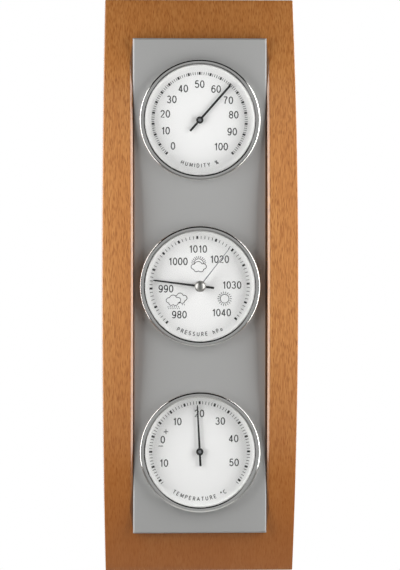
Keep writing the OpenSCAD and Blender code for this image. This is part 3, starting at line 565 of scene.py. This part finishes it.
def cloud(x, y, width, height):
    """Outline of a cloud round (x, y), stretched to a width and a height.

    It is a union of circles, at max(d cos(a - b) + sqrt(r^2 - d^2 sin^2(a - b))) from its middle at a.
    """
    a = np.radians(np.linspace(0, 360, 145))
    # distance and bearing of each puff's middle, and its radius
    puffs = np.array([
        (0.30, 172, 0.20), (0.20, 100, 0.24), (0.28, 12, 0.21), (0.22, 228, 0.17), (0.21, 308, 0.18),
    ])
    d, b, r = puffs[:, 0:1], np.radians(puffs[:, 1:2]), puffs[:, 2:3]
    inside = r**2 - (d * np.sin(a - b)) ** 2
    reach = np.where(inside > 0, d * np.cos(a - b) + np.sqrt(np.maximum(inside, 0)), 0).max(0)
    outline = np.stack([reach * np.cos(a), reach * np.sin(a)], -1)
    low, high = outline.min(0), outline.max(0)
    return (x, y) + ((outline - low) / (high - low) - 0.5) * (width, height)


def behind(path, front):
    """The run of a closed outline that lies further out than another one, seen from that one's middle."""
    middle = (front.min(0) + front.max(0)) / 2
    (px, py), (fx, fy) = (path - middle).T, (front - middle).T
    limit = np.interp(np.arctan2(py, px), np.arctan2(fy, fx)[:-1], np.hypot(fx, fy)[:-1], period=2 * np.pi)
    clear = (np.hypot(px, py) > limit)[:-1]
    start = int(np.flatnonzero(~clear & np.roll(clear, -1))[0]) + 1
    return np.roll(path[:-1], -start, axis=0)[np.roll(clear, -start)]


def sun_rays(x, y, inner, outer, first, last, count):
    """Short strokes round a sun, at even angles from first to last in degrees."""
    a = np.radians(np.linspace(first, last, count))
    way = np.stack([np.cos(a), np.sin(a)], -1)
    return [stroke(np.array([(x, y) + w * inner, (x, y) + w * outer]), SIGN_W) for w in way]


def printed(name, strokes, dial, material):
    """Strokes in mm round a dial's centre, as thin closed strips that stand proud of the dial's face."""
    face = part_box(dial + "_dial")[0][1]
    points, faces, count = [], [], 0
    for s in strokes:
        flat = s[:, [0, 1, 1, 0]] / 1000
        depth = face + np.array([PRINT_SINK, PRINT_SINK, -PRINT_T, -PRINT_T]) / 1000
        x, z = flat[..., 0], flat[..., 1] + centres[dial][2]
        points.append(np.stack([x, depth + 0 * x, z], -1).reshape(-1, 3))
        faces += (quads(len(s), 4) + count).tolist()
        faces += [[count, count + 1, count + 2, count + 3], [count + 4 * len(s) - k for k in (4, 3, 2, 1)]]
        count += 4 * len(s)
    piece = shell(name, np.concatenate(points), faces, material)
    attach(piece, "housing")
    return piece


# Sprayed white with a fine even tooth
dial_white = new_material("white paint on aluminium, matt", {"Roughness": 0.55})
tooth = noise(dial_white, (0.7, 0.7, 0.7))
tint(dial_white, tooth, "#f4f4f3", "#f9f9f8")
bump(dial_white, tooth, 0.1, 0.00001)
finish(dial_white, "hygro_dial", "baro_dial", "thermo_dial")

# Screen-print ink: a grey so dark that it is nearly black, matt, a little thinner in places
ink = new_material("screen-print ink, dark grey", {"Roughness": 0.6, "Specular IOR Level": 0.2})
ink_cover = noise(ink, (0.5, 0.5, 0.5))
tint(ink, ink_cover, "#0a0a0b", "#161617")

marks = scale("hygro", -135, 2.7, 0, 100)
marks += numbers([
    ("0", -17.7, -17.1), ("10", -22.6, -7.0), ("20", -22.8, 4.1), ("30", -18.5, 13.7), ("40", -10.9, 20.9),
    ("50", 0.0, 23.8), ("60", 10.9, 20.6), ("70", 19.0, 13.2), ("80", 22.6, 3.6), ("90", 21.6, -7.6),
    ("100", 14.2, -17.5),
])
marks += curved_text("HUMIDITY %", LETTER_R["hygro"])
printed("hygro_print", marks, "hygro", ink)

marks = scale("baro", -137.8, 4.5, 0, 60)
marks += numbers([
    ("980", -13.5, -18.9), ("990", -22.4, -1.7), ("1000", -14.3, 16.4), ("1010", -1.1, 24.6),
    ("1020", 13.2, 17.8), ("1030", 21.4, 0.7), ("1040", 14.5, -17.6),
])
fair = cloud(-0.6, 12.9, 10.2, 6.8)
sun = behind(arc(-0.6, 15.0, 3.1, 3.1, -90, 270, 60), fair)
marks += [stroke(fair, SIGN_W), stroke(sun, SIGN_W)]
marks += sun_rays(-0.6, 15.0, 3.7, 5.0, 5, 175, 11)
rain = cloud(-17.4, -9.4, 9.6, 6.9)
marks += [stroke(rain, SIGN_W), stroke(behind(cloud(-12.8, -8.0, 8.8, 6.8), rain), SIGN_W)]
for i in range(6):
    x = -20.9 + 1.4 * i
    marks += [stroke(line((x, -13.3), (x - 0.2, -14.1)), SIGN_W)]
    marks += [stroke(line((x + 0.5, -14.5), (x + 0.3, -15.2)), SIGN_W)]
marks += [stroke(line((x, -11.9), (x - 0.2, -12.7)), SIGN_W) for x in (-11.4, -10.0)]
marks += [stroke(arc(16.6, -8.4, 2.9, 2.9, 0, 360, 48), SIGN_W)]
marks += sun_rays(16.6, -8.4, 3.5, 4.8, 0, 340, 18)
marks += curved_text("PRESSURE hPa", LETTER_R["baro"])
printed("baro_print", marks, "baro", ink)

marks = scale("thermo", 0, 3.6, -36, 36)
marks += numbers([
    ("10", -23.8, -7.5), ("0", -24.5, 8.1), ("10", -14.9, 20.1), ("20", -0.2, 25.4), ("30", 13.7, 20.3),
    ("40", 22.6, 8.6), ("50", 22.9, -7.3),
])
marks += straight_text("+", -22.4, 13.3, 6.0, 0.5) + straight_text("-", -25.9, 3.8, 6.0, 0.5)
marks += curved_text("TEMPERATURE *C", LETTER_R["thermo"])
printed("thermo_print", marks, "thermo", ink)


# Rings, glasses and bezels.
# A white plastic ring keeps each glass off its dial. The bezel is pressed from brass sheet, with a bead
# round it and a rolled lip over the glass, then polished and chromed.

# millimetres, as are all profiles of turned pieces
BEZEL_R = 40.0
BEZEL_IN = 36.5
BEZEL_TOP = 4.18
SKIRT_IN = 39.1
GLASS_TOP = 2.8
# slope of the bezel's face in degrees from flat, at these radii, with a jump where the lip turns down
FACE_R = (39.98, 39.9, 39.72, 39.59, 39.5, 38.88, 38.76, 38.2, 37.52, 37.4, 36.59, 36.59, 36.5)
FACE_SLOPE = (75, 60, 44, 26, 22, 16, 4, 0, -4, -16, -24, -60, -66)
FACE_STEPS = 116

ring_white = new_material("polystyrene, white, moulded", {"Roughness": 0.5, "IOR": 1.55})
flow = noise(ring_white, (4, 1, 4))
tint(ring_white, flow, "#e9e9e7", "#f2f2f0")
finish(ring_white, "hygro_spacer", "baro_spacer", "thermo_spacer")

# Clear float glass. Light from lamps and room passes it straight, so that it casts no shadow on the dial
glass = new_material("float glass, clear", {
    "Base Color": linear("#fefefe"), "Transmission Weight": 1.0, "Roughness": 0.0, "IOR": 1.5,
    "Specular IOR Level": 0.2,
})
clear = node(glass, "BsdfTransparent", [("Color", linear("#f9f9f9"))])
ray_kind = node(glass, "LightPath")
surface = glass.node_tree.nodes["Principled BSDF"]
for kind in ("Is Shadow Ray", "Is Diffuse Ray"):
    inputs = [(0, ray_kind.outputs[kind]), (1, surface.outputs[0]), (2, clear.outputs[0])]
    surface = node(glass, "MixShader", inputs)
glass.node_tree.links.new(surface.outputs[0], glass.node_tree.nodes["Material Output"].inputs["Surface"])
finish(glass, "hygro_glass", "baro_glass", "thermo_glass")

# Bright chrome over polished brass: a cold, clean mirror with faint wiping marks
chrome = new_material("chrome plate, polished", {"Metallic": 1.0, "Base Color": linear("#e2e2e0")})
wiped = noise(chrome, (5, 5, 5), 3.0)
roughen(chrome, wiped, 0.07, 0.12)

# Each step inwards raises the face by tan(slope) times its width. The highest point lies at BEZEL_TOP
face_r = np.linspace(FACE_R[0], FACE_R[-1], FACE_STEPS + 1)
face_mid = (face_r[1:] + face_r[:-1]) / 2
face_slope = np.radians(np.interp(-face_mid, -np.array(FACE_R), FACE_SLOPE))
face_z = np.concatenate([[0], np.cumsum(-np.tan(face_slope) * np.diff(face_r))])
face_z += BEZEL_TOP - face_z.max()
bezel_profile = np.concatenate(
    [
        [(SKIRT_IN, 0.0), (BEZEL_R - 0.1, 0.0), (BEZEL_R, 0.1), (BEZEL_R, 1.2), (BEZEL_R, face_z[0] - 0.15)],
        np.stack([face_r, face_z], -1),
        [(BEZEL_IN, GLASS_TOP), (SKIRT_IN, GLASS_TOP)],
    ]
)
for d in dials:
    rim = turned(d + "_rim", bezel_profile, centres[d], chrome, steps=256)
    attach(rim, "housing")
    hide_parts(d + "_bezel")


# Hands.
# Pointers stamped from thin aluminium and painted satin black, on turned hubs. The barometer's set hand is a
# bare steel needle under the glass, riveted to a turned and chromed knob.

KNOB_R = 3.75
KNOB_LOW = 2.95
KNOB_TOP = 7.15
KNOB_EDGE = 4.2
STEM_R = 1.5
RIVET_R = 1.0
RIVET_T = 0.5

black = new_material("satin black enamel", {"Roughness": 0.45, "Specular IOR Level": 0.15})
enamel = noise(black, (1.5, 1.5, 1.5))
tint(black, enamel, "#040404", "#080808")
finish(black, "hygro_pointer", "baro_pointer", "thermo_pointer")
finish(turned_steel, "baro_set_hand")

# Chromed brass with a satin turned finish: softer than the bezels
knob_chrome = new_material("chrome plate, satin turned", {"Metallic": 1.0, "Base Color": linear("#999996")})
brushed = noise(knob_chrome, (0.8, 0.1, 0.8))
roughen(knob_chrome, brushed, 0.38, 0.48)
knob_low = (centres["baro"][1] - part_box("baro_set_knob")[1][1]) * 1000
knob_profile = np.concatenate(
    [
        [(0, knob_low), (RIVET_R, knob_low), (RIVET_R, knob_low + RIVET_T), (STEM_R, knob_low + RIVET_T)],
        [(STEM_R, KNOB_LOW)],
        [(KNOB_R - 0.5, KNOB_LOW), (KNOB_R - 0.15, KNOB_LOW + 0.12), (KNOB_R, KNOB_LOW + 0.4)],
        arc(0, KNOB_EDGE, KNOB_R, KNOB_TOP - KNOB_EDGE, 0, 90, 20),
    ]
)
knob = turned("set_knob_turned", knob_profile, centres["baro"], knob_chrome, steps=96, closed=False)
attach(knob, "baro_set")
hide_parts("baro_set_knob")


# Studio.
# A soft box stands on either side of the object and one behind it, under a dark ceiling. The floor is pale,
# the background plain white, and a grey screen behind the camera gives the metal something to mirror.

BOX_AT = (0.29, -0.155, -0.13)
BOX_AIM = (0, -0.03, -0.16)
BOX_SIZE = (0.22, 0.5)
BOX_WATTS = 1.92
BACK_AT = (0.5, 1.1, 0.4)
BACK_AIM = (0, -0.02, -0.168)
BACK_SIZE = (0.8, 0.8)
BACK_WATTS = 7.5
FLOOR_X = 1.2
FLOOR_Y = 0.9
FLOOR_Z = -0.56
FLOOR_GLOW = 0.6
SCREEN_X = 1.6
SCREEN_Y = -2.3
SCREEN_LOW = -1.0
SCREEN_TOP = 0.7
SCREEN_GLOW = 0.38
ROOM_LIGHT = 0.11
CEILING_LIGHT = 0.01
CAMERA_M = 2.0
VIEW_H = 0.3777
AIM = (0.0001, -0.027, -0.1672)
CAMERA_AZIMUTH = -3.0
CAMERA_ELEVATION = 1.5
SENSOR_MM = 36

# The glasses mirror no lamp, as if each were flagged off them, so that no view loses a dial behind its glare
glare_free = bpy.data.collections.new("glasses")
for d in dials:
    glare_free.objects.link(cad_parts[d + "_glass"])
for linked in glare_free.collection_objects:
    linked.light_linking.link_state = "EXCLUDE"


def lamp(name, where, aim, size, watts):
    """A rectangular soft box that faces a point."""
    light = bpy.data.lights.new(name, "AREA")
    light.shape = "RECTANGLE"
    light.size, light.size_y = size
    light.energy = watts
    holder = bpy.data.objects.new(name, light)
    holder.location = where
    holder.rotation_euler = (Vector(aim) - Vector(where)).to_track_quat("-Z", "Y").to_euler()
    holder.visible_camera = False
    holder.light_linking.receiver_collection = glare_free
    bpy.context.scene.collection.objects.link(holder)


def sheet(name, corners, colour, glow=0.0):
    """A flat stage surface through four corners, which can glow in a soft grey."""
    mesh = bpy.data.meshes.new(name)
    mesh.from_pydata(corners, [], [(0, 1, 2, 3)])
    material = new_material(name + " paint", {
        "Base Color": linear(colour), "Roughness": 0.9,
        "Emission Color": (1, 1, 1, 1), "Emission Strength": glow,
    })
    mesh.materials.append(material)
    made = bpy.data.objects.new(name, mesh)
    bpy.context.scene.collection.objects.link(made)
    return made


lamp("left_box", (-BOX_AT[0], *BOX_AT[1:]), BOX_AIM, BOX_SIZE, BOX_WATTS)
lamp("right_box", BOX_AT, BOX_AIM, BOX_SIZE, BOX_WATTS)
lamp("back_box", BACK_AT, BACK_AIM, BACK_SIZE, BACK_WATTS)

floor_corners = [(x, y, FLOOR_Z) for x, y in (
    (-FLOOR_X, -FLOOR_Y), (FLOOR_X, -FLOOR_Y), (FLOOR_X, FLOOR_Y), (-FLOOR_X, FLOOR_Y),
)]
floor = sheet("floor", floor_corners, "#e6e6e4")
# The floor looks nearly white to the camera, but its glow lights nothing
floor_paint = floor.data.materials[0]
floor_seen = node(floor_paint, "LightPath").outputs["Is Camera Ray"]
feed(floor_paint, "Emission Strength", ramp(floor_paint, floor_seen, 0, 1, 0.0, FLOOR_GLOW))
# From below it is clear, so that it hides nothing
from_below = node(floor_paint, "NewGeometry").outputs["Backfacing"]
feed(floor_paint, "Alpha", ramp(floor_paint, from_below, 0, 1, 1.0, 0.0))

screen_corners = [(x, SCREEN_Y, z) for x, z in (
    (-SCREEN_X, SCREEN_LOW), (SCREEN_X, SCREEN_LOW), (SCREEN_X, SCREEN_TOP), (-SCREEN_X, SCREEN_TOP),
)]
screen = sheet("screen", screen_corners, "#000000", SCREEN_GLOW)
screen.visible_camera = False
screen.visible_shadow = False
screen.visible_diffuse = False

world = bpy.data.worlds.new("white room")
bpy.context.scene.world = world
world.use_nodes = True
path = node(world, "LightPath")
way = node(world, "SeparateXYZ", [(0, node(world, "TexCoord").outputs["Generated"])])
# Metal and glass mirror a dark ceiling and wall in front of the object, and the white background behind it
mirrored = ramp(world, way.outputs["Y"], -0.15, 0.15, CEILING_LIGHT, 1.0)
shown = node(world, "Math", [(0, path.outputs["Is Glossy Ray"]), (1, mirrored)], operation="MULTIPLY")
shown = node(world, "Math", [(0, shown.outputs[0]), (1, path.outputs["Is Camera Ray"])], operation="ADD")
shown = node(
    world, "Math", [(0, shown.outputs[0]), (1, path.outputs["Is Transmission Ray"])], operation="ADD",
    use_clamp=True,
)
spread = ramp(world, path.outputs["Is Diffuse Ray"], 0, 1, 0.0, ROOM_LIGHT)
level = node(world, "Math", [(0, shown.outputs[0]), (1, spread)], operation="ADD")
background = world.node_tree.nodes["Background"]
background.inputs["Color"].default_value = (1, 1, 1, 1)
world.node_tree.links.new(level.outputs[0], background.inputs["Strength"])

turn, tilt = math.radians(CAMERA_AZIMUTH), math.radians(CAMERA_ELEVATION)
away = Vector((math.sin(turn) * math.cos(tilt), -math.cos(turn) * math.cos(tilt), math.sin(tilt)))
camera = bpy.data.objects.new("camera", bpy.data.cameras.new("camera"))
camera.data.sensor_fit = "VERTICAL"
camera.data.sensor_height = SENSOR_MM
camera.data.lens = SENSOR_MM * CAMERA_M / VIEW_H
camera.location = Vector(AIM) + away * CAMERA_M
camera.rotation_euler = (-away).to_track_quat("-Z", "Y").to_euler()
bpy.context.scene.collection.objects.link(camera)
bpy.context.scene.camera = camera
bpy.context.scene.view_settings.view_transform = "Standard"

bpy.context.view_layer.update()
